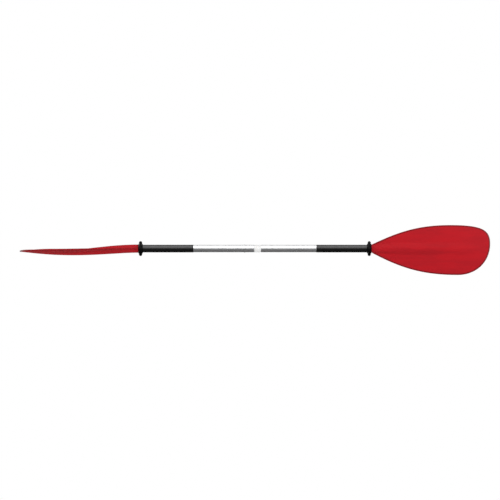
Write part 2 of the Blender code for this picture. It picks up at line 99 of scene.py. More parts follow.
# Sizes that the frame doesn't give, in millimetres, as in the CAD source.
FIT_GAP = 0.25
TUBE_WALL = 1.5
GRIP_WALL = 0.7
FERRULE_WALL = 1.9
SPIGOT_CHAMFER = 1.5
NECK_STEP = 2.0
RING_HUB_WALL = 3.4
RING_RIM_RADIUS = 6.8
RING_WAIST = 13.2
BUTTON_DOME = 1.2
BUTTON_FLANGE_STEP = 0.8
BUTTON_FLANGE = 1.2
SPRING_WIDTH = 7.6
SPRING_STRIP = 0.7
SPRING_LEG = 26.0
BLADE_SPIGOT = 80.0
BLADE_SPIGOT_WALL = 3.75
BLADE_BORE_INTO_NECK = 95.0
BLADE_CORE_TIP_RADIUS = 6.0
RIVET_SHANK_RADIUS = 1.9
RIVET_FLUSH_HEAD_RADIUS = 3.4
RIVET_DOME_HEAD_RADIUS = 3.6
RIVET_DOME_HEIGHT = 1.2
RIVET_TAIL_RADIUS = 2.7
RIVET_TAIL_LENGTH = 2.4
FEATHER_HOLE_ANGLES = (0.0, 90.0, 180.0)

TUBE_BORE_RADIUS = TUBE_RADIUS - TUBE_WALL
COLLAR_X = TUBE_START - FIT_GAP
SEAL_GROOVE_RADIUS = SPIGOT_RADIUS - SEAL_THICKNESS - FIT_GAP
FERRULE_BORE_RADIUS = SEAL_GROOVE_RADIUS - FERRULE_WALL
BUTTON_SHANK_RADIUS = BUTTON_FLANGE_RADIUS - BUTTON_FLANGE_STEP
BLADE_BORE_RADIUS = SPIGOT_RADIUS - BLADE_SPIGOT_WALL
NECK_RADIUS = TUBE_RADIUS + NECK_STEP

# Fine details that only these surfaces have, in millimetres. A dimple is (radius, depth) points.
TUBE_EASE = 0.35
GRIP_EASE = 0.8 * GRIP_WALL
COLLAR_EASE = 0.4
BUNG_EASE = 1.2
NECK_EASE = 0.5
HOLE_EASE = 0.3
BUTTON_EASE = 0.25
SPRING_EASE = 0.12
RING_LIP = 1.0
RING_RIM_STEP = 0.2
RIVET_HOLE_FLARE = 2.2
RIVET_HEAD_EASE = 0.1
RIVET_END_SHARE = 0.8
RIVET_DIMPLE = ((0, 0.35), (0.75, 0.3), (0.9, 0.05), (1.05, 0))

# How finely things are divided, and how far a cutter reaches past what it cuts.
ROUND_STEPS = 96
SMALL_STEPS = 48
BLADE_STATIONS = 130
BLADE_AROUND = 112
STATION_CROWDING = 1.25
OUTLINE_SAMPLES = 900
OUTLINE_CHUNKS = 60
SCOOP_SAMPLES = 600
SHARP_DEGREES = 40
HOLE_CUTTER_REACH = 2.0
CORE_CUTTER_REACH = 1.0

# ---------------------------------------------------------------- mesh helpers


def new_object(name, data):
    obj = bpy.data.objects.new(name, data)
    bpy.context.scene.collection.objects.link(obj)
    return obj


def shade(mesh):
    """Smooth, with the edges that turn more than SHARP_DEGREES kept sharp."""
    mesh.shade_smooth()
    mesh.set_sharp_from_angle(angle=math.radians(SHARP_DEGREES))


def mesh_object(name, points, faces):
    """A shaded mesh object from points in metres."""
    mesh = bpy.data.meshes.new(name)
    mesh.from_pydata([tuple(p) for p in points], [], faces)
    shade(mesh)
    return new_object(name, mesh)


def arc(centre, radius, start, end, steps):
    """Points on an arc in a profile, between two angles in degrees. 0 points out from the axis."""
    points = []
    for i in range(steps + 1):
        angle = math.radians(start + (end - start) * i / steps)
        points.append((centre[0] + radius * math.cos(angle), centre[1] + radius * math.sin(angle)))
    return points


def mirrored(upper):
    """The lower half of a profile that is the same above and below its middle."""
    return [(radius, -height) for radius, height in reversed(upper)]


def turned(name, profile, closed, steps=ROUND_STEPS):
    """A profile of (radius, height) points, running down its outer side, swept round Z."""
    points = []
    rows = []
    for radius, height in profile:
        count = 1 if radius < 1e-9 else steps
        rows.append(range(len(points), len(points) + count))
        for i in range(count):
            angle = 2 * math.pi * i / steps
            points.append((radius * MM * math.cos(angle), radius * MM * math.sin(angle), height * MM))
    faces = []
    pairs = list(zip(rows, rows[1:]))
    if closed:
        pairs.append((rows[-1], rows[0]))
    for upper, lower in pairs:
        for i in range(steps):
            j = (i + 1) % steps
            above = (upper[j % len(upper)], upper[i % len(upper)])
            below = (lower[i % len(lower)], lower[j % len(lower)])
            faces.append(tuple(dict.fromkeys(above + below)))
    return mesh_object(name, points, faces)


def place(obj, matrix):
    """Moves the mesh itself, so that the object's own coordinates are the model's."""
    obj.data.transform(matrix)
    return obj


def along_shaft(obj, x=0.0):
    """The object's Z axis becomes the shaft's direction."""
    turn = Matrix.Rotation(math.pi / 2, 4, "Y")
    return place(obj, Matrix.Translation((x * MM, 0, 0)) @ turn)


def across_shaft(obj, x, angle):
    """The object's Z axis stands across the shaft at x, turned angle degrees from straight up."""
    turn = Matrix.Rotation(math.radians(angle), 4, "X")
    return place(obj, Matrix.Translation((x * MM, 0, 0)) @ turn)


def cut(obj, cutters):
    """Cuts each cutter from the object and removes it."""
    for cutter in cutters:
        modifier = obj.modifiers.new("Cut", "BOOLEAN")
        modifier.operation = "DIFFERENCE"
        modifier.solver = "EXACT"
        modifier.object = cutter
    bpy.context.view_layer.update()
    evaluated = obj.evaluated_get(bpy.context.evaluated_depsgraph_get())
    mesh = bpy.data.meshes.new_from_object(evaluated)
    obj.modifiers.clear()
    obj.data = mesh
    shade(mesh)
    for cutter in cutters:
        bpy.data.objects.remove(cutter, do_unlink=True)
    return obj


def hole_cutter(radius, x, angle, flare=0.0):
    """A round cutter through one wall of the shaft, with an eased edge where it leaves the tube."""
    top = TUBE_RADIUS + HOLE_CUTTER_REACH
    bottom = FERRULE_BORE_RADIUS / 2
    profile = [
        (0, top),
        (radius + flare + HOLE_CUTTER_REACH + HOLE_EASE, top),
        (radius + flare, TUBE_RADIUS - HOLE_EASE),
        (radius, TUBE_BORE_RADIUS - FIT_GAP / 2),
        (radius, bottom),
        (0, bottom),
    ]
    return across_shaft(turned("cutter", profile, closed=False, steps=SMALL_STEPS), x, angle)


# ---------------------------------------------------------------- material helpers


class Nodes:
    """Adds nodes to a shader tree. An input is a value, or the socket that it is linked to."""

    def __init__(self, tree):
        self.tree = tree

    def put(self, socket, value):
        if isinstance(value, bpy.types.NodeSocket):
            self.tree.links.new(value, socket)
        else:
            socket.default_value = value

    def node(self, kind, inputs=(), **settings):
        node = self.tree.nodes.new(kind)
        for name, value in settings.items():
            setattr(node, name, value)
        for key, value in dict(inputs).items():
            self.put(node.inputs[key], value)
        return node

    def split(self, coordinates):
        """The X, Y and Z of coordinates."""
        return self.node("ShaderNodeSeparateXYZ", {0: coordinates}).outputs

    def remap(self, value, low, high, to_low=0.0, to_high=1.0):
        """value taken from low..high to to_low..to_high, smoothly and without overshoot."""
        inputs = {
            "Value": value,
            "From Min": low,
            "From Max": high,
            "To Min": to_low,
            "To Max": to_high,
        }
        node = self.node("ShaderNodeMapRange", inputs, interpolation_type="SMOOTHSTEP")
        return node.outputs["Result"]

    def math(self, operation, a, b=0.0):
        return self.node("ShaderNodeMath", {0: a, 1: b}, operation=operation).outputs["Value"]


class Surface(Nodes):
    """A material under construction: a Principled shader and the object's own coordinates."""

    def __init__(self, name, colour, roughness, **sockets):
        self.material = bpy.data.materials.new(name)
        self.material.use_nodes = True
        super().__init__(self.material.node_tree)
        self.shader = self.tree.nodes["Principled BSDF"]
        self.set("Base Color", (*colour, 1.0))
        self.set("Roughness", roughness)
        for socket, value in sockets.items():
            self.set(socket.replace("_", " "), value)
        self.coordinates = self.node("ShaderNodeTexCoord").outputs["Object"]

    def set(self, socket, value):
        self.put(self.shader.inputs[socket], value)

    def noise(self, scale, stretch=(1, 1, 1), detail=3.0, roughness=0.5):
        """Noise from 0 to 1. scale is in cycles a metre, and stretch multiplies it along each axis."""
        mapping = self.node("ShaderNodeMapping", {"Vector": self.coordinates, "Scale": stretch})
        inputs = {
            "Vector": mapping.outputs["Vector"],
            "Scale": scale,
            "Detail": detail,
            "Roughness": roughness,
        }
        return self.node("ShaderNodeTexNoise", inputs).outputs["Fac"]

    def attribute(self, name):
        return self.node("ShaderNodeAttribute", attribute_name=name).outputs["Fac"]

    def mix(self, share, a, b):
        """Colour a at share 0 and b at share 1. Each is a colour or a socket."""
        node = self.node("ShaderNodeMix", {"Factor": share}, data_type="RGBA")
        for key, colour in (("A", a), ("B", b)):
            socket = next(s for s in node.inputs if s.name == key and s.type == "RGBA")
            linked = isinstance(colour, bpy.types.NodeSocket)
            self.put(socket, colour if linked else (*colour, 1.0))
        return next(s for s in node.outputs if s.type == "RGBA")

    def bump(self, *layers):
        """Bumps the surface by (height from 0 to 1, depth in metres) layers."""
        normal = None
        for height, depth in layers:
            inputs = {"Height": height, "Distance": depth, "Strength": 1.0}
            if normal:
                inputs["Normal"] = normal
            normal = self.node("ShaderNodeBump", inputs).outputs["Normal"]
        self.set("Normal", normal)


# ---------------------------------------------------------------- materials


def blade_plastic():
    """Red moulded polypropylene.

    It has fine spark-eroded grain, faint flow lines, a dark line of painted shade just inside its rim and
    a scuffed tip.
    """
    red, flow_red = (0.5, 0.0075, 0.0145), (0.44, 0.0075, 0.0145)
    painted_rim_shade_red, scuffed = (0.17, 0.006, 0.009), (0.30, 0.2, 0.19)
    s = Surface("Red moulded plastic", red, 0.5, Specular_IOR_Level=0.12)
    flow = s.noise(9.0, stretch=(1, 5, 5), detail=4.0)
    colour = s.mix(s.remap(flow, 0.35, 0.7), red, flow_red)
    # Painted shade: a dark line just inside the rim, where the rounded edge turns from the light.
    colour = s.mix(s.math("MULTIPLY", s.attribute("rim"), 0.9), colour, painted_rim_shade_red)
    scuffs = s.noise(520.0, detail=6.0, roughness=0.7)
    worn = s.remap(s.math("ADD", s.math("MULTIPLY", s.attribute("wear"), 0.55), scuffs), 0.82, 0.98)
    s.set("Base Color", s.mix(worn, colour, scuffed))
    s.set("Roughness", s.remap(s.noise(130.0, detail=4.0), 0.3, 0.75, 0.48, 0.62))
    grain = s.noise(1900.0, detail=2.0)
    peel = s.noise(260.0, detail=2.0)
    s.bump((peel, 0.000035), (grain, 0.000008), (s.math("MULTIPLY", worn, -1.0), 0.00005))
    return s.material


def aluminium():
    """Clear-anodised drawn tube: fine lines along it, faint hand marks."""
    s = Surface("Anodised aluminium", (0.76, 0.765, 0.775), 0.3, Metallic=0.88)
    drawn = s.noise(40.0, stretch=(0.12, 60, 60), detail=3.0)
    marks = s.noise(14.0, detail=4.0)
    colour = s.mix(s.remap(drawn, 0.3, 0.7), (0.73, 0.735, 0.745), (0.79, 0.795, 0.805))
    s.set("Base Color", colour)
    s.set("Roughness", s.remap(marks, 0.35, 0.7, 0.26, 0.38))
    s.bump((drawn, 0.00001))
    return s.material


def shrink_sleeve():
    """Black shrink sleeve with a fine diamond texture that grips a wet hand."""
    s = Surface("Black shrink sleeve", (0.0016, 0.0016, 0.0017), 0.36, Specular_IOR_Level=0.66)
    split = s.split(s.coordinates)
    turn = s.math("ARCTAN2", split["Y"], split["Z"])
    diamonds_round = 52.0
    pitch = 2 * math.pi * GRIP_RADIUS * MM / diamonds_round
    lean = s.math("MULTIPLY", split["X"], 2 * math.pi / pitch)
    around = s.math("MULTIPLY", turn, diamonds_round)
    one = s.math("SINE", s.math("ADD", around, lean))
    other = s.math("SINE", s.math("SUBTRACT", around, lean))
    diamonds = s.math("MULTIPLY", one, other)
    s.set("Roughness", s.remap(s.noise(70.0, detail=4.0), 0.3, 0.7, 0.24, 0.36))
    s.set("Base Color", s.mix(s.noise(35.0, detail=3.0), (0.001, 0.001, 0.0011), (0.0024, 0.0024, 0.0026)))
    s.bump((s.remap(diamonds, -0.6, 0.6), 0.00002), (s.noise(30.0, detail=2.0), 0.0002))
    return s.material


def rubber(name, roughness):
    """Smooth black moulded rubber with a little dust in its grain."""
    s = Surface(name, (0.002, 0.002, 0.0022), roughness, Specular_IOR_Level=0.09)
    dust = s.remap(s.noise(160.0, detail=5.0, roughness=0.7), 0.5, 0.8)
    s.set("Base Color", s.mix(dust, (0.0015, 0.0015, 0.0017), (0.008, 0.008, 0.0076)))
    s.set("Roughness", s.remap(dust, 0.0, 1.0, roughness, roughness + 0.15))
    s.bump((s.noise(900.0, detail=2.0), 0.00001))
    return s.material


def nylon():
    """White moulded nylon, slightly translucent, with faint rub marks from the tube."""
    s = Surface(
        "White nylon",
        (0.95, 0.95, 0.94),
        0.4,
        Subsurface_Weight=0.25,
        Subsurface_Radius=(1.0, 0.95, 0.9),
        Subsurface_Scale=0.002,
    )
    rubbed = s.remap(s.noise(60.0, stretch=(0.2, 6, 6), detail=4.0), 0.56, 0.75)
    s.set("Base Color", s.mix(rubbed, (0.93, 0.93, 0.92), (0.88, 0.88, 0.87)))
    s.set("Roughness", s.remap(s.noise(120.0, detail=3.0), 0.3, 0.7, 0.34, 0.46))
    s.bump((s.noise(700.0, detail=2.0), 0.00002))
    return s.material


def stainless(name, roughness):
    """Stainless steel with the fine marks of forming."""
    s = Surface(name, (0.66, 0.65, 0.64), roughness, Metallic=1.0)
    marks = s.noise(900.0, stretch=(1, 0.25, 1), detail=4.0)
    s.set("Base Color", s.mix(marks, (0.60, 0.59, 0.58), (0.72, 0.71, 0.70)))
    s.set("Roughness", s.remap(marks, 0.3, 0.7, roughness - 0.06, roughness + 0.1))
    s.bump((marks, 0.00001))
    return s.material


def foam():
    """Closed-cell foam: open half cells on the cut faces, in grey that is painted darker towards the
    bottom of each hollow as shade.
    """
    s = Surface("Grey closed-cell foam", (0.16, 0.16, 0.165), 0.9)
    cells = s.node("ShaderNodeTexVoronoi", {"Vector": s.coordinates, "Scale": 1100.0})
    depth = s.remap(cells.outputs["Distance"], 0.0, 0.7)
    # Painted shade: each cell darker towards the bottom of its hollow, following the bump's depth.
    s.set("Base Color", s.mix(depth, (0.09, 0.09, 0.095), (0.24, 0.24, 0.245)))
    s.bump((depth, 0.0003))
    return s.material


# ---------------------------------------------------------------- the shaft


def shaft_tube(label, side, holes):
    """One half's tube, with eased ends and the holes drilled in it."""
    half, middle = half_and_middle(label + "_shaft_tube", side)
    profile = [
        (TUBE_RADIUS - TUBE_EASE, half),
        (TUBE_RADIUS, half - TUBE_EASE),
        (TUBE_RADIUS, -half + TUBE_EASE),
        (TUBE_RADIUS - TUBE_EASE, -half),
        (TUBE_BORE_RADIUS + TUBE_EASE, -half),
        (TUBE_BORE_RADIUS, -half + TUBE_EASE),
        (TUBE_BORE_RADIUS, half - TUBE_EASE),
        (TUBE_BORE_RADIUS + TUBE_EASE, half),
    ]
    return cut(along_shaft(turned(label + "_tube", profile, closed=True), middle), holes)


def grip_sleeve(label, side):
    """Shrink sleeve, drawn in a little over its rounded ends."""
    half, middle = half_and_middle(label + "_grip_sleeve", side)
    hollow = GRIP_RADIUS - GRIP_WALL
    upper = arc((GRIP_RADIUS - GRIP_EASE, half - GRIP_EASE), GRIP_EASE, 90, 0, steps=6)
    profile = [*upper, *mirrored(upper), (hollow, -half), (hollow, half)]
    return along_shaft(turned(label + "_grip", profile, closed=True), middle)


def ring_profile(half, bore):
    """Half section of a drip ring: rounded hub, hollowed waist and full round rim."""
    hub = bore + RING_HUB_WALL
    shoulder = half - RING_LIP
    waist = RING_WAIST / 2
    fillet = shoulder - waist
    lean = math.degrees(math.acos(min(1.0, (waist + RING_RIM_STEP) / RING_RIM_RADIUS)))
    upper = arc((bore + RING_LIP, shoulder), RING_LIP, 180, 90, steps=5)
    upper += arc((hub - RING_LIP, shoulder), RING_LIP, 90, 0, steps=5)[1:]
    upper += arc((hub + fillet, shoulder), fillet, 180, 270, steps=8)[1:]
    upper += arc((RING_RADIUS - RING_RIM_RADIUS, 0), RING_RIM_RADIUS, 90 + lean, 0, steps=26)
    return upper + mirrored(upper[:-1])


def drip_ring(label, side):
    half, middle = half_and_middle(label + "_drip_ring", side)
    profile = ring_profile(half, GRIP_RADIUS + FIT_GAP)
    return along_shaft(turned(label + "_ring", profile, closed=True), middle)


def bung(label, side):
    """Foam bung with its edges rounded over."""
    half, middle = half_and_middle(label + "_bung", side)
    upper = arc((SPIGOT_RADIUS - BUNG_EASE, half - BUNG_EASE), BUNG_EASE, 90, 0, steps=6)
    profile = [(0, half), *upper, *mirrored(upper), (0, -half)]
    return along_shaft(turned(label + "_foam", profile, closed=False), middle)


# ---------------------------------------------------------------- the ferrule


def ferrule(holes):
    """Collar with eased edges, a chamfered spigot each side, and the seal's groove."""
    left, right = span("ferrule", X)
    groove_half = SEAL_THICKNESS / 2 + FIT_GAP
    collar_corner = (TUBE_RADIUS - COLLAR_EASE, COLLAR_X - COLLAR_EASE)
    collar_edge = arc(collar_corner, COLLAR_EASE, 90, 0, steps=5)
    profile = [
        (FERRULE_BORE_RADIUS + COLLAR_EASE, right),
        (SPIGOT_RADIUS - SPIGOT_CHAMFER, right),
        (SPIGOT_RADIUS, right - SPIGOT_CHAMFER),
        (SPIGOT_RADIUS, SEAL_X + groove_half),
        (SEAL_GROOVE_RADIUS, SEAL_X + groove_half),
        (SEAL_GROOVE_RADIUS, SEAL_X - groove_half),
        (SPIGOT_RADIUS, SEAL_X - groove_half),
        (SPIGOT_RADIUS, COLLAR_X),
        *collar_edge,
        *mirrored(collar_edge),
        (SPIGOT_RADIUS, -COLLAR_X),
        (SPIGOT_RADIUS, left + SPIGOT_CHAMFER),
        (SPIGOT_RADIUS - SPIGOT_CHAMFER, left),
        (FERRULE_BORE_RADIUS + COLLAR_EASE, left),
        (FERRULE_BORE_RADIUS, left + COLLAR_EASE),
        (FERRULE_BORE_RADIUS, right - COLLAR_EASE),
    ]
    return cut(along_shaft(turned("ferrule_body", profile, closed=True)), holes)


def seal():
    """O-ring, round in section."""
    minor = SEAL_THICKNESS / 2
    centre = (radius_of("seal_ring") - minor, 0)
    profile = arc(centre, minor, 90, -270, steps=24)[:-1]
    return along_shaft(turned("o_ring", profile, closed=True), SEAL_X)


def snap_button():
    """Domed button with a flange that stops it inside the ferrule's bore."""
    shank_top = BUTTON_TOP - BUTTON_DOME
    dome_radius = (BUTTON_SHANK_RADIUS**2 + BUTTON_DOME**2) / (2 * BUTTON_DOME)
    lean = math.degrees(math.asin(BUTTON_SHANK_RADIUS / dome_radius))
    dome = arc((0, BUTTON_TOP - dome_radius), dome_radius, 90, 90 - lean, steps=10)[1:]
    flange_top = BUTTON_BOTTOM + BUTTON_FLANGE
    profile = [
        (0, BUTTON_TOP),
        *dome,
        (BUTTON_SHANK_RADIUS, shank_top - BUTTON_EASE),
        (BUTTON_SHANK_RADIUS, flange_top),
        (BUTTON_FLANGE_RADIUS - BUTTON_EASE, flange_top),
        (BUTTON_FLANGE_RADIUS, flange_top - BUTTON_EASE),
        (BUTTON_FLANGE_RADIUS, BUTTON_BOTTOM + BUTTON_EASE),
        (BUTTON_FLANGE_RADIUS - BUTTON_EASE, BUTTON_BOTTOM),
        (0, BUTTON_BOTTOM),
    ]
    return across_shaft(turned("button", profile, closed=False, steps=SMALL_STEPS), BUTTON_X, 0)


def button_spring():
    """V of spring strip, in one bent sheet with eased edges."""
    low, high = span("button_spring", Z)
    upper, lower = high - SPRING_STRIP / 2, low + SPRING_STRIP / 2
    bend = arc((0, 0), (upper - lower) / 2, 90, -90, steps=32)
    start = span("button_spring", X)[0] - BUTTON_X
    halfway = start / 2 + SPRING_LEG / 2
    path = [(start, upper), (halfway, upper)]
    path += [(SPRING_LEG + x, (upper + lower) / 2 + z) for x, z in bend]
    path += [(halfway, lower), (start, lower)]
    half = SPRING_WIDTH / 2
    points = []
    for x, z in path:
        points += [((BUTTON_X + x) * MM, y * MM, z * MM) for y in (-half, half)]
    faces = [(2 * i, 2 * i + 1, 2 * i + 3, 2 * i + 2) for i in range(len(path) - 1)]
    obj = mesh_object("leaf_spring", points, faces)
    solidify = obj.modifiers.new("Strip", "SOLIDIFY")
    solidify.thickness = SPRING_STRIP * MM
    solidify.offset = 0
    bevel = obj.modifiers.new("Edge", "BEVEL")
    bevel.width = SPRING_EASE * MM
    bevel.segments = 2
    return obj


# ---------------------------------------------------------------- rivets


def rivet_places(prefix):
    """(x, angle) of the two rivets named prefix_1 and prefix_2, which are at 0 and 180 degrees."""
    return [(middle_x(f"{prefix}_{number}"), angle) for number, angle in ((1, 0), (2, 180))]


def rivet_dimple(top):
    """The break in a blind rivet's head where its mandrel snapped off."""
    return [(radius, top - depth) for radius, depth in RIVET_DIMPLE]


def rivet_tail(bore_radius):
    """Shank and drawn bulb of a blind rivet, below its head, with the bulb inside a bore."""
    top = math.sqrt(bore_radius**2 - RIVET_TAIL_RADIUS**2) - 2 * FIT_GAP
    bottom = top - RIVET_TAIL_LENGTH
    centre = (RIVET_TAIL_RADIUS - RIVET_TAIL_LENGTH / 2, (top + bottom) / 2)
    bulb = arc(centre, RIVET_TAIL_LENGTH / 2, 75, -75, steps=12)
    end_radius = RIVET_SHANK_RADIUS * RIVET_END_SHARE
    return [(RIVET_SHANK_RADIUS, top), *bulb, (end_radius, bottom), (0, bottom)]


def dome_rivet(name, x, angle):
    """A blind rivet whose domed head stands on the tube."""
    seat = TUBE_RADIUS + FIT_GAP
    crown = seat + RIVET_DOME_HEIGHT
    sphere = (RIVET_DOME_HEAD_RADIUS**2 + RIVET_DOME_HEIGHT**2) / (2 * RIVET_DOME_HEIGHT)
    edge_lean = math.degrees(math.asin(RIVET_DOME_HEAD_RADIUS / sphere))
    dimple_lean = math.degrees(math.asin(RIVET_DIMPLE[-1][0] / sphere))
    dome = arc((0, crown - sphere), sphere, 90 - dimple_lean, 90 - edge_lean, steps=10)
    profile = [*rivet_dimple(dome[0][1])[:-1], *dome, (RIVET_SHANK_RADIUS, seat)]
    profile += rivet_tail(FERRULE_BORE_RADIUS)
    return across_shaft(turned(name, profile, closed=False, steps=SMALL_STEPS), x, angle)


def flush_rivet(name, x, angle):
    """A blind rivet whose countersunk head lies level with the tube, under the grip."""
    top = math.sqrt(TUBE_RADIUS**2 - RIVET_FLUSH_HEAD_RADIUS**2) - FIT_GAP / 2
    profile = [
        *rivet_dimple(top),
        (RIVET_FLUSH_HEAD_RADIUS - RIVET_HEAD_EASE, top),
        (RIVET_FLUSH_HEAD_RADIUS, top - RIVET_HEAD_EASE),
        (RIVET_SHANK_RADIUS, TUBE_BORE_RADIUS),
        *rivet_tail(BLADE_BORE_RADIUS),
    ]
    return across_shaft(turned(name, profile, closed=False, steps=SMALL_STEPS), x, angle)


# ---------------------------------------------------------------- the blades

PLATE_THICKNESS = 3.6
RIM_ROUNDING = 2.6
LONG_SIDE = 98.0
SHORT_SIDE = 110.0
TIP_OFFSET = 21.0
SCOOP_PULL = 30.0
TIP_DROP = 11.0
SPOON_DEPTH = 14.0
SPOON_AT = 105.0
SPINE_START = 60.0
SPINE_HALF_WIDTH = 27.0
SPINE_BLEND = 90.0
# The dark line of painted shade just inside the blade's rim, in millimetres.
PAINTED_RIM_SHADE_AT = 3.0
PAINTED_RIM_SHADE_HALF_WIDTH = 2.4
PAINTED_RIM_SHADE_START = 4.0
PAINTED_RIM_SHADE_FADE_IN = 12.0
WEAR_REACH = 60.0
WEAR_WIDTH = 7.0

# Shares of the blade's length, the powers of its spine's section, and the full share of the rim's painted
# shade line.
LEVEL_FROM = 0.58
SCOOP_LEVEL_TO = 0.255
SCOOP_PULL_AT = 0.589
BACK_SPINE_SHARE = 0.992
FRONT_SPINE_SHARE = 0.8
SPINE_NECK_FLANK = 0.5
SPINE_FLANK = 1.4
PAINTED_RIM_SHADE_CORE = 0.5

SHOULDERS = {
    label: inner_and_outer_x(label + "_shaft_tube", side)[1] + FIT_GAP for label, side in SIDES.items()
}
BLADE_LENGTH = inner_and_outer_x("right_blade", 1)[1] - SHOULDERS["right"]


def bezier(points, t):
    """Points of a cubic Bezier curve at the shares t, as rows of (first, second)."""
    t = np.asarray(t, float)[:, None]
    u = 1 - t
    a, b, c, d = (np.array(p, float) for p in points)
    return u**3 * a + 3 * u * u * t * b + 3 * u * t * t * c + t**3 * d


def edge_curves(side, full, neck_handle, level_to, tip_handle, tip_across):
    """Half of the outline as two Bezier curves of (along the blade, out from its centreline).

    It is side wide at the share full of the length, and runs level round there, from LEVEL_FROM of
    the way to it up to level_to of the length. neck_handle is in shares of the length and of side,
    and tip_handle in shares of side.
    """
    length = BLADE_LENGTH
    widest = (full * length, side)
    leaving = (neck_handle[0] * length, neck_handle[1] * side)
    rise = (0, NECK_RADIUS), leaving, (LEVEL_FROM * widest[0], side), widest
    fall = widest, (level_to * length, side), (length, tip_handle * side), (length, tip_across)
    return rise, fall


LONG_EDGE = edge_curves(
    LONG_SIDE, 0.66, neck_handle=(0.215, 0.685), level_to=0.93, tip_handle=0.81, tip_across=TIP_OFFSET
)
SHORT_EDGE = edge_curves(
    SHORT_SIDE, 0.725, neck_handle=(0.238, 0.72), level_to=0.89, tip_handle=0.475, tip_across=-TIP_OFFSET
)
SCOOP = (
    (0, 0),
    (SCOOP_LEVEL_TO * BLADE_LENGTH, 0),
    (SCOOP_PULL_AT * BLADE_LENGTH, -SCOOP_PULL),
    (BLADE_LENGTH, -TIP_DROP),
)


def on_edge(edge, t):
    """Points at shares t of an outline edge made of two curves."""
    t = np.asarray(t, float)
    first = bezier(edge[0], np.clip(2 * t, 0, 1))
    second = bezier(edge[1], np.clip(2 * t - 1, 0, 1))
    return np.where((t < 0.5)[:, None], first, second)


def both_edges(t):
    """Points at shares t of the long edge and of the short edge, as (along, across)."""
    return on_edge(LONG_EDGE, t), on_edge(SHORT_EDGE, t) * (1, -1)


def outline_distance(x, across):
    """Distance of each point from the blade's outline, seen flat."""
    outline = np.vstack(both_edges(np.linspace(0, 1, OUTLINE_SAMPLES)))
    nearest = np.full(x.shape, np.inf)
    for chunk in np.array_split(outline, OUTLINE_CHUNKS):
        distance = np.hypot(x[..., None] - chunk[:, 0], across[..., None] - chunk[:, 1])
        nearest = np.minimum(nearest, distance.min(axis=-1))
    return nearest


def scoop_at(x):
    curve = bezier(SCOOP, np.linspace(0, 1, SCOOP_SAMPLES))
    return np.interp(x, curve[:, 0], curve[:, 1])


def plate_middle(x, across):
    """Height of the middle of the plate: scooped along the blade and spooned across it."""
    return scoop_at(x) + SPOON_DEPTH * (across / SPOON_AT) ** 2


def spine_height(x, end):
    fade = np.clip((x - SPINE_START) / (end - SPINE_START), 0, 1)
    return NECK_RADIUS * np.cos(np.pi / 2 * fade)


def spine_section(x, across):
    """Share of the spine's height across the blade: round at the neck, then a bell."""
    blend = np.clip(x / SPINE_BLEND, 0, 1)
    half_width = NECK_RADIUS + (SPINE_HALF_WIDTH - NECK_RADIUS) * blend
    power = SPINE_NECK_FLANK + (SPINE_FLANK - SPINE_NECK_FLANK) * blend
    return np.clip(1 - (across / half_width) ** 2, 0, 1) ** power


def blade_surface():
    """The points of the blade's sections from neck to tip, stations by points round."""
    stations = np.arange(1, BLADE_STATIONS) / BLADE_STATIONS
    t = np.sin(np.pi / 2 * stations) ** STATION_CROWDING
    angles = 2 * np.pi * np.arange(BLADE_AROUND) / BLADE_AROUND
    share = (1 + np.cos(angles)) / 2
    long_edge, short_edge = both_edges(t)
    flat = short_edge[:, None, :] + (long_edge - short_edge)[:, None, :] * share[None, :, None]
    x, across = flat[..., 0], flat[..., 1]
    rim = outline_distance(x, across)
    rim[:, [0, BLADE_AROUND // 2]] = 0
    inset = np.clip(rim / RIM_ROUNDING, 0, 1)
    plate = PLATE_THICKNESS / 2 * np.sqrt(1 - (1 - inset) ** 2)
    to_front = np.sin(angles)[None, :] > 0
    end = np.where(to_front, FRONT_SPINE_SHARE, BACK_SPINE_SHARE) * BLADE_LENGTH
    spine = spine_height(x, end) * spine_section(x, across)
    thickness = np.where(inset > 0, np.hypot(plate, spine), 0)
    height = plate_middle(x, across) + np.where(to_front, thickness, -thickness)
    return np.stack((x, across, height), axis=-1)


def circle_row(x, radius):
    angles = 2 * np.pi * np.arange(BLADE_AROUND) / BLADE_AROUND
    return np.stack((np.full(BLADE_AROUND, x), radius * np.cos(angles), radius * np.sin(angles)), axis=-1)


def to_world(points, side, shoulder):
    """From the blade's own axes to the model's: the left one lies flat, and the right one stands."""
    x, across, height = points[:, 0], points[:, 1], points[:, 2]
    if side < 0:
        return np.stack((-shoulder - x, -across, height), axis=-1) * MM
    return np.stack((shoulder + x, height, across), axis=-1) * MM


def core_cutter(side, shoulder):
    """The cutter for a blade's bore: straight through the spigot, then tapered into the neck."""
    mouth = -BLADE_SPIGOT - CORE_CUTTER_REACH
    profile = [
        (0, BLADE_BORE_INTO_NECK),
        (BLADE_CORE_TIP_RADIUS, BLADE_BORE_INTO_NECK),
        (BLADE_BORE_RADIUS, 0),
        (BLADE_BORE_RADIUS, mouth),
        (0, mouth),
    ]
    core = turned("cutter", profile, closed=False)
    place(core, Matrix.Rotation(side * math.pi / 2, 4, "Y"))
    return place(core, Matrix.Translation((side * shoulder * MM, 0, 0)))


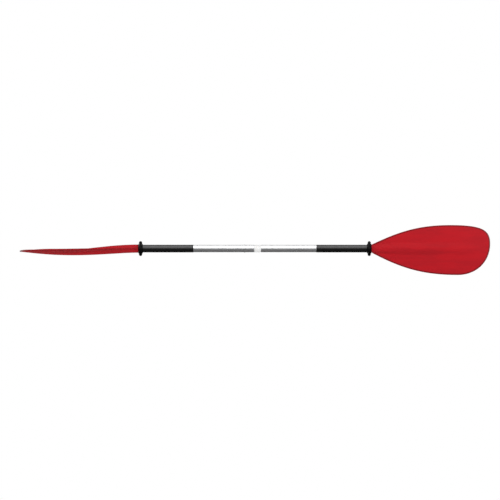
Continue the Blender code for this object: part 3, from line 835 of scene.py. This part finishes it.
def blade(label, side):
    """The moulding, as one closed loft from its spigot to its tip, bored from the spigot's end."""
    neck = [
        circle_row(-BLADE_SPIGOT, SPIGOT_RADIUS - SPIGOT_CHAMFER),
        circle_row(-BLADE_SPIGOT + SPIGOT_CHAMFER, SPIGOT_RADIUS),
        circle_row(0, SPIGOT_RADIUS),
        circle_row(0, NECK_RADIUS - NECK_EASE),
        circle_row(NECK_EASE, NECK_RADIUS),
    ]
    rows = np.concatenate((np.array(neck), blade_surface()))
    tip_height = float(plate_middle(BLADE_LENGTH, TIP_OFFSET))
    ends = [(-BLADE_SPIGOT, 0, 0), (BLADE_LENGTH, TIP_OFFSET, tip_height)]
    points = np.vstack((rows.reshape(-1, 3), np.array(ends)))
    start, tip = len(points) - 2, len(points) - 1
    around = BLADE_AROUND
    last = (len(rows) - 1) * around
    faces = []
    for i in range(around):
        j = (i + 1) % around
        faces.append((start, j, i))
        for row in range(len(rows) - 1):
            a, b = row * around, (row + 1) * around
            faces.append((a + i, a + j, b + j, b + i))
        faces.append((last + i, last + j, tip))
    if side > 0:
        faces = [tuple(reversed(face)) for face in faces]
    shoulder = SHOULDERS[label]
    obj = mesh_object(label + "_blade_moulding", to_world(points, side, shoulder), faces)
    core = core_cutter(side, shoulder)
    places = rivet_places(label + "_blade_rivet")
    cut(obj, [core, *(hole_cutter(RIVET_SHANK_RADIUS + FIT_GAP, x, angle) for x, angle in places)])
    mark_rim_shade_and_wear(obj, side, shoulder)
    return obj


def mark_rim_shade_and_wear(obj, side, shoulder):
    """Point attributes for the material: the painted line of shade inside the rim, and how worn the tip
    is.
    """
    count = len(obj.data.vertices)
    world = np.empty(count * 3)
    obj.data.vertices.foreach_get("co", world)
    world = world.reshape(-1, 3) / MM
    x = side * world[:, 0] - shoulder
    across = -world[:, 1] if side < 0 else world[:, 2]
    distance = outline_distance(x, across)
    # rim: the dark line of painted shade just inside the rim, faded in from the neck.
    on_blade = np.clip((x - PAINTED_RIM_SHADE_START) / PAINTED_RIM_SHADE_FADE_IN, 0, 1)
    from_line = np.abs(distance - PAINTED_RIM_SHADE_AT) / PAINTED_RIM_SHADE_HALF_WIDTH
    rim = np.clip(1 + PAINTED_RIM_SHADE_CORE - from_line, 0, 1) * on_blade
    tip = np.clip((x - BLADE_LENGTH + WEAR_REACH) / WEAR_REACH, 0, 1) ** 0.5
    wear = tip * np.clip(1 - distance / WEAR_WIDTH, 0, 1)
    for name, values in (("rim", rim), ("wear", wear)):
        attribute = obj.data.attributes.new(name, "FLOAT", "POINT")
        attribute.data.foreach_set("value", values.astype(np.float32))


# ---------------------------------------------------------------- assembly


def finish_piece(piece, node, material):
    """The piece stands for a CAD node, on the node's own body."""
    bodies = frame["record"]["behaviour"]["bodies"]
    body = next(name for name, nodes in bodies.items() if node in nodes)
    piece.data.materials.clear()
    piece.data.materials.append(material)
    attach(piece, body)
    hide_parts(node)


def build_paddle():
    red = blade_plastic()
    metal = aluminium()
    sleeve = shrink_sleeve()
    ring_rubber = rubber("Black ring rubber", 0.34)
    seal_rubber = rubber("Black seal rubber", 0.28)
    white = nylon()
    steel = stainless("Stainless rivet", 0.3)
    spring_steel = stainless("Spring steel", 0.36)
    grey_foam = foam()
    rivet_hole = RIVET_SHANK_RADIUS + FIT_GAP
    button_hole = BUTTON_SHANK_RADIUS + FIT_GAP
    ferrule_places = rivet_places("ferrule_rivet")
    for label, side in SIDES.items():
        places = rivet_places(label + "_blade_rivet")
        holes = [hole_cutter(rivet_hole, x, angle, flare=RIVET_HOLE_FLARE) for x, angle in places]
        if side < 0:
            holes += [hole_cutter(rivet_hole, x, angle) for x, angle in ferrule_places]
        else:
            holes += [hole_cutter(button_hole, BUTTON_X, -angle) for angle in FEATHER_HOLE_ANGLES]
        finish_piece(shaft_tube(label, side, holes), label + "_shaft_tube", metal)
        finish_piece(grip_sleeve(label, side), label + "_grip_sleeve", sleeve)
        finish_piece(drip_ring(label, side), label + "_drip_ring", ring_rubber)
        finish_piece(bung(label, side), label + "_bung", grey_foam)
        finish_piece(blade(label, side), label + "_blade", red)
        for number, (x, angle) in enumerate(places, start=1):
            piece = flush_rivet(f"{label}_flush_rivet_{number}", x, angle)
            finish_piece(piece, f"{label}_blade_rivet_{number}", steel)
    holes = [hole_cutter(rivet_hole, x, angle) for x, angle in ferrule_places]
    holes.append(hole_cutter(button_hole, BUTTON_X, 0))
    finish_piece(ferrule(holes), "ferrule", white)
    for number, (x, angle) in enumerate(ferrule_places, start=1):
        piece = dome_rivet(f"dome_rivet_{number}", x, angle)
        finish_piece(piece, f"ferrule_rivet_{number}", steel)
    finish_piece(seal(), "seal_ring", seal_rubber)
    finish_piece(snap_button(), "snap_button", steel)
    finish_piece(button_spring(), "button_spring", spring_steel)


# ---------------------------------------------------------------- floor, light and camera

WHITE = (1, 1, 1, 1)
VIEW_WIDTH = 2.0835
VIEW_CENTRE = Vector((-0.0319, 0, -0.0058))
VIEW_DEPTH = 30
CAMERA_DISTANCE = 4

FLOOR_Z = -1.15
FLOOR_RADIUS = 40.0
FLOOR_SIDES = 128
FLOOR_GREY = 0.76
FLOOR_GLOW = 0.07

SOFTBOX_AZIMUTHS = (-50, 50, 130, -130)
SOFTBOX_DISTANCE = 3.6
SOFTBOX_HEIGHT = 0.7
SOFTBOX_SIZE = 1.6
SOFTBOX_POWER = 33.5

# The studio's brightness, and where it changes, as ranges of the direction's X, Y and Z.
SKY_LOW = 0.08
SKY_HIGH = 0.5
SKY_RISES = (-0.45, 0.2)
STRIP = 2.3
STRIP_DIFFUSE_SHARE = 0.42
STRIP_RISES = (0.12, 0.6)
STRIP_ENDS = (0.14, 0.34)
STRIP_BACK = (0.05, 0.5)
BEHIND_SHADE = 0.93
BEHIND_FROM = (0.15, 0.6)
BEHIND_ABOVE = (-0.2, 0.05)


def add_floor():
    """A pale studio floor, well below the paddle, that metal doesn't mirror."""
    bpy.ops.mesh.primitive_circle_add(
        vertices=FLOOR_SIDES, radius=FLOOR_RADIUS, fill_type="NGON", location=(0, 0, FLOOR_Z)
    )
    floor = bpy.context.object
    floor.name = "studio_floor"
    material = bpy.data.materials.new("Pale floor")
    material.use_nodes = True
    shader = material.node_tree.nodes["Principled BSDF"]
    shader.inputs["Base Color"].default_value = (FLOOR_GREY, FLOOR_GREY, FLOOR_GREY, 1)
    shader.inputs["Roughness"].default_value = 0.9
    shader.inputs["Emission Color"].default_value = WHITE
    shader.inputs["Emission Strength"].default_value = FLOOR_GLOW
    floor.data.materials.append(material)
    floor.visible_glossy = False


def add_world():
    """White to the camera. Reflections see a bright upper half, an overhead strip and a dark floor."""
    world = bpy.data.worlds.new("Studio")
    bpy.context.scene.world = world
    world.use_nodes = True
    nodes = Nodes(world.node_tree)
    x, y, z = nodes.split(nodes.node("ShaderNodeTexCoord").outputs["Generated"])
    path = nodes.node("ShaderNodeLightPath").outputs
    sky = nodes.remap(z, *SKY_RISES, SKY_LOW, SKY_HIGH)
    strip = nodes.remap(z, *STRIP_RISES, 0.0, STRIP)
    strip_shares = (
        nodes.remap(nodes.math("ABSOLUTE", x), *STRIP_ENDS, 1.0, 0.0),
        nodes.remap(y, *STRIP_BACK, 1.0, 0.0),
        nodes.remap(path["Is Glossy Ray"], 0.0, 1.0, STRIP_DIFFUSE_SHARE, 1.0),
    )
    for share in strip_shares:
        strip = nodes.math("MULTIPLY", strip, share)
    behind = nodes.remap(y, *BEHIND_FROM, 0.0, BEHIND_SHADE)
    behind = nodes.math("MULTIPLY", behind, nodes.remap(z, *BEHIND_ABOVE))
    unshaded = nodes.math("SUBTRACT", 1.0, behind)
    strength = nodes.math("MULTIPLY", nodes.math("ADD", sky, strip), unshaded)
    background = world.node_tree.nodes["Background"]
    background.inputs["Color"].default_value = WHITE
    nodes.put(background.inputs["Strength"], strength)
    white = nodes.node("ShaderNodeBackground", {"Color": WHITE})
    inputs = {0: path["Is Camera Ray"], 1: background.outputs[0], 2: white.outputs[0]}
    mix = nodes.node("ShaderNodeMixShader", inputs)
    nodes.put(world.node_tree.nodes["World Output"].inputs["Surface"], mix.outputs[0])


def add_softbox(name, azimuth):
    """A square light that faces the paddle, azimuth degrees round from the camera."""
    light = bpy.data.lights.new(name, "AREA")
    light.shape = "RECTANGLE"
    light.size, light.size_y = SOFTBOX_SIZE, SOFTBOX_SIZE
    light.energy = SOFTBOX_POWER
    angle = math.radians(azimuth)
    x, y = SOFTBOX_DISTANCE * math.sin(angle), -SOFTBOX_DISTANCE * math.cos(angle)
    obj = new_object(name, light)
    obj.location = (x, y, SOFTBOX_HEIGHT)
    obj.rotation_euler = (-obj.location).to_track_quat("-Z", "Y").to_euler()


def add_camera():
    data = bpy.data.cameras.new("Camera")
    data.type = "ORTHO"
    data.ortho_scale = VIEW_WIDTH
    data.clip_end = VIEW_DEPTH
    camera = new_object("Camera", data)
    camera.location = VIEW_CENTRE + Vector((0, -CAMERA_DISTANCE, 0))
    camera.rotation_euler = (math.pi / 2, 0, 0)
    bpy.context.scene.camera = camera


build_paddle()
add_floor()
add_world()
for number, azimuth in enumerate(SOFTBOX_AZIMUTHS, start=1):
    add_softbox(f"softbox_{number}", azimuth)
add_camera()
bpy.context.scene.view_settings.view_transform = "Standard"
